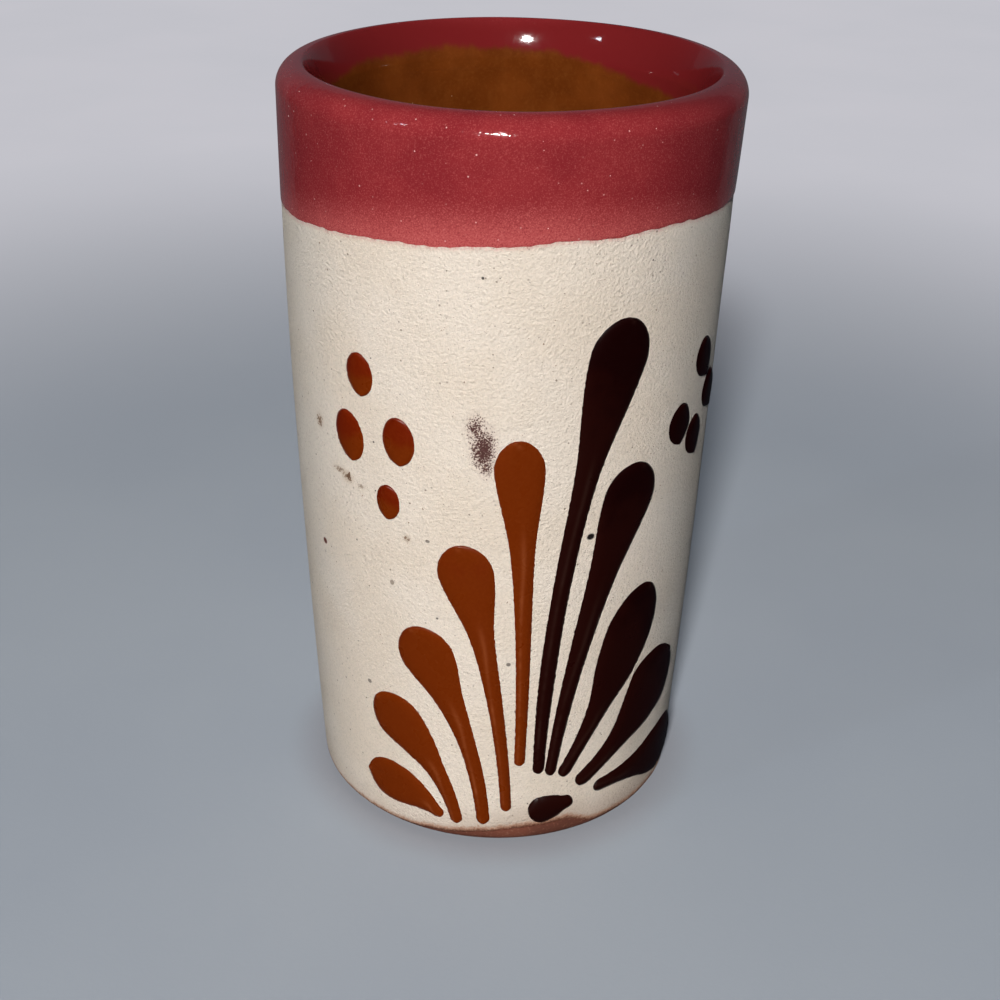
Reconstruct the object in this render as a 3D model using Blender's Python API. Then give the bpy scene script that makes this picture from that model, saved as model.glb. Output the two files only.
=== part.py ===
"""A small hand-made ceramic shot glass.

The fired clay cup is the base. Everything else is a layer laid on it by hand: a cream slip coat
outside, a red glaze over the lip, an amber glaze inside, and a fan of trailed drops on the front.
Origin at the centre of the underside, +Z up, the decorated front faces -Y. Units are metres.
"""
import math

import bmesh
import bpy
from mathutils import Vector

MM = 0.001

# The cup, measured over its finished surfaces.
CUP_HEIGHT = 76.0 * MM
RIM_RADIUS = 21.4 * MM
FOOT_RADIUS = 19.0 * MM
WALL_BOW = 0.5 * MM
FOOT_ROUND = 1.4 * MM
LIP_THICKNESS = 2.8 * MM
LIP_RISE = 2.2 * MM
LIP_CREST = 0.38
LOW_WALL_THICKNESS = 4.4 * MM
FLOOR_THICKNESS = 6.0 * MM
FLOOR_ROUND = 5.0 * MM

# The layers on the clay.
SLIP_THICKNESS = 0.5 * MM
GLAZE_THICKNESS = 0.5 * MM
BOND_GAP = 0.3 * MM
BARE_BAND = 0.2 * MM
FOOT_RECESS = 0.1 * MM
BAND_DEPTH = 12.1 * MM
BAND_TILT = 1.7 * MM
BAND_PROUD = 0.15 * MM
INNER_BAND_RUN = 0.3 * MM
INNER_BAND_TILT = 1.4 * MM
HIGH_SIDE_TURN = 35.0

# The trailed drops. Their widths, bows and lengths further down are counted in the fan unit.
FAN_UNIT = 1.0 * MM
AMBER_PROUD = 0.6 * MM
BROWN_PROUD = 0.8 * MM
DROP_EDGE = 0.1 * MM
DROP_STEEPNESS = 0.8

# Colours in linear light, with a roughness.
TERRACOTTA = ((0.40, 0.17, 0.09, 1.0), 0.85)
CREAM_SLIP = ((0.62, 0.53, 0.43, 1.0), 0.75)
RED_GLAZE = ((0.30, 0.03, 0.035, 1.0), 0.25)
AMBER_GLAZE = ((0.16, 0.05, 0.006, 1.0), 0.15)
AMBER_DROP = ((0.16, 0.026, 0.002, 1.0), 0.2)
BROWN_DROP = ((0.012, 0.004, 0.003, 1.0), 0.25)

SEGMENTS = 64

# A trailed drop: its thin end and the middle of its round head, each as a turn in degrees from the
# front and a height in percent of the slip field; how far its middle bows sideways; its width at
# the thin end, at each quarter of its length and at the head; how far the head runs on past that.
AMBER_PETALS = (
    {"root": (7.4, 15.0), "head": (4.8, 67.9), "bow": -0.35,
     "widths": (1.0, 1.3, 1.7, 2.6, 4.9), "crown": 3.2},
    {"root": (3.8, 5.5), "head": (-8.5, 50.1), "bow": -0.7,
     "widths": (1.0, 1.2, 1.65, 2.65, 5.6), "crown": 3.3},
    {"root": (-3.1, 2.9), "head": (-19.6, 34.2), "bow": -1.1,
     "widths": (1.3, 1.55, 1.95, 3.3, 6.0), "crown": 3.5},
    {"root": (-11.4, 2.5), "head": (-29.3, 20.0), "bow": -1.0,
     "widths": (1.4, 1.75, 2.45, 4.3, 6.0), "crown": 3.5},
    {"root": (-17.6, 3.1), "head": (-33.1, 6.8), "bow": -0.4,
     "widths": (1.6, 2.8, 4.1, 5.1, 5.4), "crown": 3.0},
)
BROWN_PETALS = (
    {"root": (13.2, 13.6), "head": (29.3, 84.4), "bow": 1.4,
     "widths": (1.3, 1.75, 1.9, 2.75, 6.4), "crown": 3.6},
    {"root": (17.0, 13.0), "head": (35.9, 61.1), "bow": 0.9,
     "widths": (1.3, 1.7, 2.35, 3.6, 6.3), "crown": 3.4},
    {"root": (21.6, 12.4), "head": (40.8, 35.6), "bow": -0.2,
     "widths": (1.6, 1.95, 3.2, 5.7, 7.0), "crown": 5.3},
    {"root": (27.7, 9.5), "head": (53.8, 22.0), "bow": -0.2,
     "widths": (1.9, 2.4, 3.9, 6.7, 9.0), "crown": 4.4},
    {"root": (34.3, 6.5), "head": (66.5, 5.8), "bow": 0.3,
     "widths": (1.3, 2.2, 3.8, 5.9, 7.0), "crown": 3.8},
)
BASE_DOT = {"root": (22.6, 4.6), "head": (14.8, 4.2), "bow": 0.0,
            "widths": (1.5, 2.4, 3.0, 3.4, 3.6), "crown": 1.4}

# A dot: its middle as above, its width and length, and its lean to the left in degrees.
AMBER_DOTS = (
    {"middle": (-37.6, 80.0), "width": 3.3, "length": 4.2, "lean": 8.0},
    {"middle": (-41.9, 69.5), "width": 3.8, "length": 5.1, "lean": 14.0},
    {"middle": (-26.3, 70.9), "width": 3.5, "length": 4.8, "lean": 5.0},
    {"middle": (-29.8, 60.4), "width": 2.7, "length": 3.6, "lean": 3.0},
)
BROWN_DOTS = (
    {"middle": (63.7, 79.3), "width": 3.1, "length": 4.1, "lean": 25.0},
    {"middle": (70.6, 72.9), "width": 3.2, "length": 3.9, "lean": 10.0},
    {"middle": (52.2, 70.3), "width": 3.0, "length": 3.8, "lean": 4.0},
    {"middle": (61.2, 66.9), "width": 2.7, "length": 3.6, "lean": 10.0},
)

# Sizes that follow from the ones above.
LIP_START = CUP_HEIGHT - LIP_RISE
SLIP_BED = SLIP_THICKNESS + BOND_GAP
GLAZE_BED = GLAZE_THICKNESS + BOND_GAP
SLIP_START = FOOT_ROUND + BARE_BAND
FIELD_HEIGHT = CUP_HEIGHT - BAND_DEPTH - SLIP_START


def remove_scene_objects():
    for old in list(bpy.data.objects):
        bpy.data.objects.remove(old, do_unlink=True)


def wall_radius(z):
    """Radius of the cream outer surface at a height: a straight taper with a slight belly."""
    share = z / LIP_START
    belly = WALL_BOW * 4 * share * (1 - share)
    return FOOT_RADIUS + (RIM_RADIUS - FOOT_RADIUS) * share + belly


def bore_radius(z):
    """Radius of the finished inside wall at a height."""
    low = wall_radius(FLOOR_THICKNESS) - LOW_WALL_THICKNESS
    high = RIM_RADIUS - LIP_THICKNESS
    share = (z - FLOOR_THICKNESS) / (LIP_START - FLOOR_THICKNESS)
    return low + (high - low) * share


def band_edge(turn):
    """Height of the red band's lower edge, which was laid on at a slight tilt."""
    lean = math.cos(turn - math.radians(HIGH_SIDE_TURN))
    return CUP_HEIGHT - BAND_DEPTH + BAND_TILT * lean


def inner_band_edge(turn):
    """Height of the red glaze's edge inside: low where the outer edge is high."""
    lean = math.cos(turn - math.radians(HIGH_SIDE_TURN))
    return LIP_START - INNER_BAND_RUN - INNER_BAND_TILT * (1 + lean)


def spread(start, stop, count):
    return [start + (stop - start) * i / (count - 1) for i in range(count)]


def outer_line(low, high, count, offset):
    """Points up the outer wall, moved out by an offset."""
    return [(wall_radius(z) + offset, z) for z in spread(low, high, count)]


def lip_line(outside, inside, top, count):
    """Over the lip, from the outer radius to the inner one: a broad shoulder, then a tight one."""
    crest = inside + (outside - inside) * LIP_CREST
    rise = top - LIP_START
    line = []
    for a in spread(0.0, math.pi, count):
        reach = outside - crest if a < math.pi / 2 else crest - inside
        line.append((crest + reach * math.cos(a), LIP_START + rise * math.sin(a)))
    return line


def bore_line(top, count, offset):
    """Points down the inside wall, round the corner and along the floor to its middle.

    The offset moves the line out into the clay.
    """
    corner = FLOOR_ROUND + offset
    floor = FLOOR_THICKNESS - offset
    corner_top = FLOOR_THICKNESS + FLOOR_ROUND
    side = [(bore_radius(z) + offset, z) for z in spread(top, corner_top, count)]
    centre = side[-1][0] - corner
    sweep = [math.radians(a) for a in (22.5, 45.0, 67.5, 90.0)]
    bend = [(centre + corner * math.cos(a), corner_top - corner * math.sin(a)) for a in sweep]
    return side + bend + [(0.0, floor)]


def clay_profile(turn):
    """The clay's outline from the middle of its underside to the middle of its floor."""
    foot_radius = wall_radius(FOOT_ROUND) - FOOT_RECESS
    centre = foot_radius - FOOT_ROUND
    sweep = [math.radians(a) for a in (90.0, 60.0, 30.0, 0.0)]
    foot = [(centre + FOOT_ROUND * math.cos(a), FOOT_ROUND - FOOT_ROUND * math.sin(a)) for a in sweep]
    ledge = SLIP_START - BOND_GAP / 2
    step = [(foot_radius, ledge), (wall_radius(ledge) - SLIP_BED, ledge)]
    wall = outer_line(ledge, LIP_START, 7, -SLIP_BED)[1:-1]
    outside = RIM_RADIUS - SLIP_BED
    inside = RIM_RADIUS - LIP_THICKNESS + GLAZE_BED
    lip = lip_line(outside, inside, CUP_HEIGHT - GLAZE_BED, 7)
    bore = bore_line(LIP_START, 5, GLAZE_BED)[1:]
    return [(0.0, 0.0)] + foot + step + wall + lip + bore


def slip_profile(turn):
    """The slip coat's outline: up its face, and down its back against the clay."""
    low = SLIP_START + BOND_GAP / 2
    high = band_edge(turn) - BOND_GAP
    face = outer_line(low, high, 7, 0.0)
    back = outer_line(low, high, 7, -SLIP_THICKNESS)
    return face + back[::-1]


def rim_profile(turn):
    """The red glaze's outline: over the lip on the outside, and back against the clay."""
    low = band_edge(turn)
    inner_low = inner_band_edge(turn)
    face = outer_line(low, LIP_START, 4, BAND_PROUD)[:-1]
    face += lip_line(RIM_RADIUS + BAND_PROUD, RIM_RADIUS - LIP_THICKNESS, CUP_HEIGHT, 9)
    face += [(bore_radius(inner_low), inner_low)]
    back = outer_line(low, LIP_START, 4, -SLIP_THICKNESS)[:-1]
    outside = RIM_RADIUS - SLIP_THICKNESS
    inside = RIM_RADIUS - LIP_THICKNESS + GLAZE_THICKNESS
    back += lip_line(outside, inside, CUP_HEIGHT - GLAZE_THICKNESS, 9)
    back += [(bore_radius(inner_low) + GLAZE_THICKNESS, inner_low)]
    return face + back[::-1]


def liner_profile(turn):
    """The inner glaze's outline: down its face to the floor, and back up against the clay."""
    top = inner_band_edge(turn) - BOND_GAP
    face = bore_line(top, 4, 0.0)
    back = bore_line(top, 4, GLAZE_THICKNESS)
    return face[::-1] + back


def add_finish(piece, colour, roughness):
    finish = bpy.data.materials.new(piece.name + "_finish")
    finish.use_nodes = True
    shader = finish.node_tree.nodes["Principled BSDF"]
    shader.inputs["Base Color"].default_value = colour
    shader.inputs["Roughness"].default_value = roughness
    shader.inputs["Metallic"].default_value = 0.0
    piece.data.materials.append(finish)


def place_piece(name, shape, look, parent):
    """Turn a finished bmesh into a named object with its own material."""
    bmesh.ops.recalc_face_normals(shape, faces=shape.faces)
    mesh = bpy.data.meshes.new(name)
    shape.to_mesh(mesh)
    shape.free()
    mesh.shade_smooth()
    mesh.set_sharp_from_angle(angle=math.radians(40.0))
    piece = bpy.data.objects.new(name, mesh)
    bpy.context.scene.collection.objects.link(piece)
    piece.parent = parent
    add_finish(piece, *look)
    return piece


def join_rings(shape, first, second):
    """Skin two neighbouring rings; a ring of one vertex is a point on the axis."""
    count = max(len(first), len(second))
    for i in range(count):
        j = (i + 1) % count
        corners = [first[i % len(first)], first[j % len(first)],
                   second[j % len(second)], second[i % len(second)]]
        shape.faces.new(list(dict.fromkeys(corners)))


def turn_body(name, profile, look, parent):
    """Turn a profile about the cup's axis. A profile may differ a little from turn to turn."""
    shape = bmesh.new()
    turns = [math.tau * i / SEGMENTS for i in range(SEGMENTS)]
    lines = [profile(turn) for turn in turns]
    rings = []
    for k in range(len(lines[0])):
        if lines[0][k][0] == 0.0:
            rings.append([shape.verts.new((0.0, 0.0, lines[0][k][1]))])
            continue
        ring = []
        for turn, line in zip(turns, lines):
            radius, z = line[k]
            ring.append(shape.verts.new((radius * math.sin(turn), -radius * math.cos(turn), z)))
        rings.append(ring)
    pairs = list(zip(rings, rings[1:]))
    if len(rings[0]) > 1:
        pairs.append((rings[-1], rings[0]))
    for first, second in pairs:
        join_rings(shape, first, second)
    return place_piece(name, shape, look, parent)


def field_point(turn_degrees, percent):
    """A place on the slip field laid flat: distance round the wall, and height."""
    z = SLIP_START + FIELD_HEIGHT * percent / 100
    return Vector((math.radians(turn_degrees) * wall_radius(z), z))


def on_wall(flat, proud):
    """Wrap a place on the flat field back onto the wall, proud of its surface."""
    z = flat.y
    turn = flat.x / wall_radius(z)
    radius = wall_radius(z) + proud
    return (radius * math.sin(turn), -radius * math.cos(turn), z)


def width_at(widths, share):
    """Width along a drop, smoothed between its five given widths."""
    place = min(share, 0.9999) * (len(widths) - 1)
    i = int(place)
    t = place - i
    before = widths[max(i - 1, 0)]
    after = widths[min(i + 2, len(widths) - 1)]
    start, stop = widths[i], widths[i + 1]
    slope_in = (stop - before) / 2
    slope_out = (after - start) / 2
    curve = start + slope_in * t
    curve += (3 * (stop - start) - 2 * slope_in - slope_out) * t ** 2
    curve += (2 * (start - stop) + slope_in + slope_out) * t ** 3
    return curve * FAN_UNIT


def petal_stations(petal):
    """Centre, sideways direction and half width at stations from the thin end to the crown."""
    root = field_point(*petal["root"])
    head = field_point(*petal["head"])
    along = (head - root).normalized()
    side = Vector((-along.y, along.x))
    bend = (root + head) / 2 + side * petal["bow"] * 2 * FAN_UNIT
    stations = []
    root_half = petal["widths"][0] * FAN_UNIT / 2
    start_way = (bend - root).normalized()
    for angle in (75.0, 40.0):
        a = math.radians(angle)
        back = root - start_way * root_half * math.sin(a)
        stations.append((back, start_way, root_half * math.cos(a)))
    for share in (0.0, 0.2, 0.4, 0.6, 0.75, 0.875, 1.0):
        place = root * (1 - share) ** 2 + bend * 2 * share * (1 - share) + head * share ** 2
        way = ((bend - root) * (1 - share) + (head - bend) * share).normalized()
        stations.append((place, way, width_at(petal["widths"], share) / 2))
    end_way = (head - bend).normalized()
    head_half = petal["widths"][-1] * FAN_UNIT / 2
    for angle in (25.0, 45.0, 62.0, 78.0):
        a = math.radians(angle)
        ahead = head + end_way * petal["crown"] * FAN_UNIT * math.sin(a)
        stations.append((ahead, end_way, head_half * math.cos(a)))
    return stations


def dot_stations(dot):
    """Centre, sideways direction and half width at stations along a leaning oval."""
    middle = field_point(*dot["middle"])
    lean = math.radians(dot["lean"])
    way = Vector((-math.sin(lean), math.cos(lean)))
    stations = []
    for angle in (-76.0, -55.0, -28.0, 0.0, 28.0, 55.0, 76.0):
        a = math.radians(angle)
        place = middle + way * dot["length"] * FAN_UNIT / 2 * math.sin(a)
        stations.append((place, way, dot["width"] * FAN_UNIT / 2 * math.cos(a)))
    return stations


def lay_drop(name, stations, proud, look, parent):
    """A domed bead of slip on the wall, its back following the wall at the bond gap."""
    shape = bmesh.new()
    rings = []
    for place, way, half in stations:
        across = Vector((way.y, -way.x)) * half
        height = max(min(proud, DROP_STEEPNESS * half), 1.5 * DROP_EDGE)
        back = [(u, 0.0) for u in (-1.0, -0.4, 0.4, 1.0)]
        dome = [(1.0, DROP_EDGE)]
        dome += [(u, DROP_EDGE + (height - DROP_EDGE) * math.sqrt(1 - u * u)) for u in (0.8, 0.4)]
        dome += [(0.0, height)]
        dome += [(-u, rise) for u, rise in dome[2:0:-1]]
        dome += [(-1.0, DROP_EDGE)]
        ring = [on_wall(place + across * u, BOND_GAP + rise) for u, rise in back + dome]
        rings.append([shape.verts.new(point) for point in ring])
    for first, second in zip(rings, rings[1:]):
        join_rings(shape, first, second)
    shape.faces.new(rings[0])
    shape.faces.new(rings[-1])
    return place_piece(name, shape, look, parent)


def build():
    remove_scene_objects()
    axis = bpy.data.objects.new("cup_axis", None)
    bpy.context.scene.collection.objects.link(axis)

    turn_body("clay_body", clay_profile, TERRACOTTA, axis)
    turn_body("slip_coat", slip_profile, CREAM_SLIP, axis)
    turn_body("rim_glaze", rim_profile, RED_GLAZE, axis)
    turn_body("inner_glaze", liner_profile, AMBER_GLAZE, axis)

    for number, petal in enumerate(AMBER_PETALS, 1):
        lay_drop(f"amber_petal_{number}", petal_stations(petal), AMBER_PROUD, AMBER_DROP, axis)
    for number, petal in enumerate(BROWN_PETALS, 1):
        lay_drop(f"brown_petal_{number}", petal_stations(petal), BROWN_PROUD, BROWN_DROP, axis)
    lay_drop("base_dot", petal_stations(BASE_DOT), BROWN_PROUD, BROWN_DROP, axis)
    for number, dot in enumerate(AMBER_DOTS, 1):
        lay_drop(f"amber_dot_{number}", dot_stations(dot), AMBER_PROUD, AMBER_DROP, axis)
    for number, dot in enumerate(BROWN_DOTS, 1):
        lay_drop(f"brown_dot_{number}", dot_stations(dot), BROWN_PROUD, BROWN_DROP, axis)


build()
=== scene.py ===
# %% [markdown]
# # A small ceramic shot glass, layer by layer
# The real cup is red clay. A potter dips it in cream slip, glazes the lip red and the inside amber,
# and trails a fan of coloured drops on the front. Blender could carry all that as paint on one mesh,
# but then no layer would have a thickness or an edge. Here each layer is a piece of its own, laid on
# in the potter's order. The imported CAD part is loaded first: it is the frame that every piece fits.

# %% Load the frame
import math
from collections import namedtuple

import bmesh
import bpy
from mathutils import Matrix, Vector, noise


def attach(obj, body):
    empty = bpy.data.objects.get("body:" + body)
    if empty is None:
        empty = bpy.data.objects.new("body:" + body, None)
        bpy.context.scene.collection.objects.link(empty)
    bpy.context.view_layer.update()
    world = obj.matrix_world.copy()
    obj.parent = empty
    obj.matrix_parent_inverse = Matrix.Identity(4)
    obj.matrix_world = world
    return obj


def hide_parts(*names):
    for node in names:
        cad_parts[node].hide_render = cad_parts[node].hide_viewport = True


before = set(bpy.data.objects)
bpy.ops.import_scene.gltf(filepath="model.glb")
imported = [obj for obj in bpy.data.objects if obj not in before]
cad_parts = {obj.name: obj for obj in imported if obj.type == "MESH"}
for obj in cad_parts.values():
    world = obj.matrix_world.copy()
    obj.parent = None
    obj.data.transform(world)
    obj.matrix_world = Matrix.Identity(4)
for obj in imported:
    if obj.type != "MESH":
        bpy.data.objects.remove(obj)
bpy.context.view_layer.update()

MM = 0.001
print("The CAD part has", len(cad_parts), "pieces to dress")

# %% [markdown]
# ## The camera
# The photograph looks down at the cup from close by, so the sides converge towards the foot. A
# camera could be turned by hand until it looks right, but its place, tilt and lens were worked out
# from the rim, the foot and the wall, and are written here as measured values.

# %% The camera at the photograph's angle
CAMERA_PLACE = Vector((0.0, -149.0, 108.55)) * MM
CAMERA_TILT_DOWN = 27.744
CAMERA_ROLL = 1.267
LENS_MM = 57.6
SENSOR_MM = 36.0
NEAREST_SEEN = 5 * MM
CUP_MIDDLE = Vector((0.0, 0.0, 40.0)) * MM

lens = bpy.data.cameras.new("portrait_lens")
lens.lens = LENS_MM
lens.sensor_width = SENSOR_MM
lens.clip_start = NEAREST_SEEN
camera = bpy.data.objects.new("portrait_camera", lens)
bpy.context.scene.collection.objects.link(camera)
tilt = Matrix.Rotation(math.radians(90.0 - CAMERA_TILT_DOWN), 4, "X")
roll = Matrix.Rotation(math.radians(CAMERA_ROLL), 4, "Z")
camera.matrix_world = Matrix.Translation(CAMERA_PLACE) @ tilt @ roll
bpy.context.scene.camera = camera
print("Camera", round((CAMERA_PLACE - CUP_MIDDLE).length / MM), "mm from the cup's middle")

# %% [markdown]
# ## Soft light
# In the photograph one lamp close to the camera lights the cup, with a weaker one on the left, so
# the cream fades to grey towards the right. Bare lamps would give hard shadows, so two soft round
# ones stand further off in the same directions. Three more behind let the back and sides be seen and
# leave the front as it is.

# %% Lamps
def add_lamp(name, across, power, colour):
    """A soft round lamp, still at the origin and facing down."""
    light = bpy.data.lights.new(name, "AREA")
    light.shape = "DISK"
    light.size = across
    light.energy = power
    light.color = colour
    lamp = bpy.data.objects.new(name, light)
    bpy.context.scene.collection.objects.link(lamp)
    return lamp


def aim_lamp(lamp, turn, lift, away):
    """Stand a lamp at a turn from the front and a lift in degrees, aimed at the cup."""
    turn, lift = math.radians(turn), math.radians(lift)
    way = Vector((math.sin(turn) * math.cos(lift), -math.cos(turn) * math.cos(lift), math.sin(lift)))
    lamp.location = CUP_MIDDLE + way * away
    lamp.rotation_euler = (-way).to_track_quat("-Z", "Y").to_euler()


# Name, metres across, watts and colour, then its turn, lift and metres away.
FRONT_LAMPS = (
    ("key_lamp", 0.085, 13.8, (1.0, 0.975, 0.95), -8.5, 30.0, 1.0),
    ("left_lamp", 0.06, 0.7, (0.76, 0.88, 1.0), -56.0, 32.0, 1.2),
)
# The lamps behind differ only in their watts and their turn.
BACK_LAMPS = (("back_lamp", 17.0, 180.0), ("back_right", 3.0, 140.0), ("back_left", 3.0, -140.0))
BACK_ACROSS = 0.6
BACK_COLOUR = (0.96, 0.98, 1.0)
BACK_LIFT = 12.0
BACK_AWAY = 1.5

for name, across, power, colour, turn, lift, away in FRONT_LAMPS:
    aim_lamp(add_lamp(name, across, power, colour), turn, lift, away)
back_lamps = []
for name, power, turn in BACK_LAMPS:
    lamp = add_lamp(name, BACK_ACROSS, power, BACK_COLOUR)
    aim_lamp(lamp, turn, BACK_LIFT, BACK_AWAY)
    lamp.visible_glossy = False
    back_lamps.append(lamp)
print("Lamps:", ", ".join(light.name for light in bpy.data.lights))

# %% [markdown]
# ## A bench for node materials
# Every finish below is made of a few kinds of nodes: noise for mottling, cells for specks, masks for
# marks, and mixes that lay one colour on another. Wiring each by hand would bury the recipe in
# links, so these helpers each add a node or a few and give back an output. Sizes are in millimetres,
# so that a speck can be as large as the one on the cup.

# %% Adding nodes
def set_inputs(tree, node, values):
    """Link each value that is an output to its socket, and set each plain one on the socket."""
    for socket, value in values.items():
        socket = node.inputs[socket]
        if isinstance(value, bpy.types.NodeSocket):
            tree.links.new(value, socket)
        else:
            socket.default_value = (*value, 1.0) if socket.type == "RGBA" else value


def add_node(tree, kind, values=None, **settings):
    """A new node with its settings and its inputs."""
    node = tree.nodes.new("ShaderNode" + kind)
    for setting, value in settings.items():
        setattr(node, setting, value)
    set_inputs(tree, node, values or {})
    return node


def reckon(tree, operation, first, second):
    """One step of arithmetic."""
    return add_node(tree, "Math", {0: first, 1: second}, operation=operation).outputs[0]


def times(tree, first, second):
    """The product of two values."""
    return reckon(tree, "MULTIPLY", first, second)


def swing(tree, value, size):
    """A noise from 0 to 1, made to swing about zero by half of this size either way."""
    return times(tree, reckon(tree, "SUBTRACT", value, 0.5), size)


def steer(tree, operation, place, by=(0.0, 0.0, 0.0)):
    """One step of arithmetic on a place."""
    step = add_node(tree, "VectorMath", {0: place, 1: by}, operation=operation)
    return step.outputs["Value" if operation == "LENGTH" else "Vector"]


def fade(tree, value, start, stop, low=0.0, high=1.0):
    """A soft step from low to high while the value goes from start to stop."""
    values = {"Value": value, "From Min": start, "From Max": stop, "To Min": low, "To Max": high}
    return add_node(tree, "MapRange", values, interpolation_type="SMOOTHSTEP").outputs["Result"]


def lay_colour(tree, share, under, over, way="MIX"):
    """Lay one colour over another by a share from 0 to 1."""
    values = {"Factor": share, 6: under, 7: over}
    return add_node(tree, "Mix", values, data_type="RGBA", blend_type=way).outputs[2]


print("Helpers for single nodes ready")

# %% Textures, marks and relief
def place_on_cup(tree, stretch=(1.0, 1.0, 1.0), shift=(0.0, 0.0, 0.0)):
    """Where on the cup a point lies, in millimetres."""
    place = add_node(tree, "TexCoord").outputs["Object"]
    values = {"Vector": place, "Scale": [part / MM for part in stretch], "Location": shift}
    return add_node(tree, "Mapping", values).outputs["Vector"]


def along_axes(tree, place):
    """The x, y and z of a place, each as an output of its own."""
    return add_node(tree, "SeparateXYZ", {0: place}).outputs


def mottle(tree, place, size, detail=2.0, rough=0.5):
    """Cloudy noise from 0 to 1 whose blotches are about this many millimetres across."""
    values = {"Vector": place, "Scale": 1.0 / size, "Detail": detail, "Roughness": rough}
    return add_node(tree, "TexNoise", values).outputs["Fac"]


def specks(tree, place, apart, least, most, soft=0.03):
    """Round specks about so far apart, each with a radius of its own, and a random lot for each."""
    cells = add_node(tree, "TexVoronoi", {"Vector": place, "Scale": 1.0 / apart}).outputs
    lot = add_node(tree, "SeparateColor", {"Color": cells["Color"]}).outputs
    radius = fade(tree, lot["Red"], 0.0, 1.0, least / apart, most / apart)
    inside = reckon(tree, "SUBTRACT", radius, cells["Distance"])
    return fade(tree, inside, 0.0, soft / apart), lot["Green"]


def mark(tree, place, middle, reach, blur=1.0):
    """A soft mark: 1 at its middle, 0 beyond its reach along x, y and z."""
    away = steer(tree, "DIVIDE", steer(tree, "SUBTRACT", place, middle), reach)
    return fade(tree, steer(tree, "LENGTH", away), 1.0, 1.0 - blur)


def painted_value(tree, label):
    """A value that was painted on the mesh, point by point."""
    return add_node(tree, "Attribute", attribute_name=label).outputs["Fac"]


def raise_surface(tree, shader, layers, coated=False):
    """Fine relief: each layer is a noise and its height in millimetres. A clear coat can share it."""
    relief = {}
    for height, tall in layers:
        bump = add_node(tree, "Bump", {"Distance": tall * MM, "Height": height, **relief})
        relief = {"Normal": bump.outputs["Normal"]}
    set_inputs(tree, shader, relief)
    if coated:
        set_inputs(tree, shader, {"Coat Normal": relief["Normal"]})


def new_finish(name):
    """A node material with its tree, its shader and its place on the cup."""
    finish = bpy.data.materials.new(name)
    finish.use_nodes = True
    tree = finish.node_tree
    return finish, tree, tree.nodes["Principled BSDF"], place_on_cup(tree)


print("Helpers for textures, marks and relief ready")

# %% [markdown]
# ## The surround
# The room round the photographed cup is dim, which is why its right side goes dark and the brown slip
# is nearly black. A bright world would fill those shadows and lay a grey veil on everything glossy, so
# the surround is a faint blue grey, a little brighter at the back. Colours are shown as they are, with
# the Standard view, because the filmic default would wash out the red and the amber.

# %% A dim surround
SURROUND_BLUE = (0.44, 0.55, 0.72)
SURROUND_STRENGTH = 0.045
EXTRA_BEHIND = 0.18

surround = bpy.data.worlds.new("studio_surround")
surround.use_nodes = True
sky = surround.node_tree
way = along_axes(sky, add_node(sky, "TexCoord").outputs["Generated"])
behind = fade(sky, way["Y"], 0.2, 1.0, 0.0, EXTRA_BEHIND)
behind = times(sky, behind, fade(sky, way["Z"], -0.1, 0.3))
strength = reckon(sky, "ADD", behind, SURROUND_STRENGTH)
set_inputs(sky, sky.nodes["Background"], {"Color": SURROUND_BLUE, "Strength": strength})
bpy.context.scene.world = surround
bpy.context.scene.view_settings.view_transform = "Standard"
print("Surround set, shown with the", bpy.context.scene.view_settings.view_transform, "view")

# %% [markdown]
# ## The floor
# The cup stands on plain pale paper that sweeps up into a wall, as in a small photo studio. Lit by the
# lamps alone it would burn out under the key lamp and go dark elsewhere. So it takes their light only
# near the cup, where the shadow falls, and further off fades into paper that glows evenly by itself.
# It is hidden from the cup's own rays, so it throws no light back. A faint cloudiness and a very fine
# tooth keep it from looking like flat grey, and right round the foot it is a little darker, where less
# light gets in. The lamps behind leave the floor out, or the cup's shadow would fall towards the
# camera.

# %% A pale paper floor and wall
PAPER_SEGMENTS = 96
FLOOR_MIDDLE = 0.4
FLOOR_REACH = 1.6
WALL_BEND = 0.6
WALL_TOP = 2.2


def turn_paper(name, rows, filled=False):
    """Paper turned about the cup from rows of radius and height, and filled inside the first."""
    paper = bmesh.new()
    rings = []
    turns = [math.tau * i / PAPER_SEGMENTS for i in range(PAPER_SEGMENTS)]
    for radius, z in rows:
        rings.append([paper.verts.new((radius * math.cos(a), radius * math.sin(a), z)) for a in turns])
    for low, high in zip(rings, rings[1:]):
        for i in range(PAPER_SEGMENTS):
            paper.faces.new((low[i], low[i - 1], high[i - 1], high[i]))
    if filled:
        paper.faces.new(rings[0])
    mesh = bpy.data.meshes.new(name)
    paper.to_mesh(mesh)
    paper.free()
    mesh.shade_smooth()
    sheet = bpy.data.objects.new(name, mesh)
    bpy.context.scene.collection.objects.link(sheet)
    sheet.visible_glossy = False
    sheet.visible_diffuse = False
    return sheet


floor = turn_paper("paper_floor", [(FLOOR_MIDDLE, 0.0), (FLOOR_REACH, 0.0)], filled=True)
bend = []
for degrees in range(0, 91, 10):
    a = math.radians(degrees)
    bend.append((FLOOR_REACH + WALL_BEND * math.sin(a), WALL_BEND * (1 - math.cos(a))))
paper_wall = turn_paper("paper_wall", bend + [(FLOOR_REACH + WALL_BEND, WALL_TOP)])
paper_wall.visible_shadow = False
print("Floor", 2 * FLOOR_REACH, "m across, wall", WALL_TOP, "m high")

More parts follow.
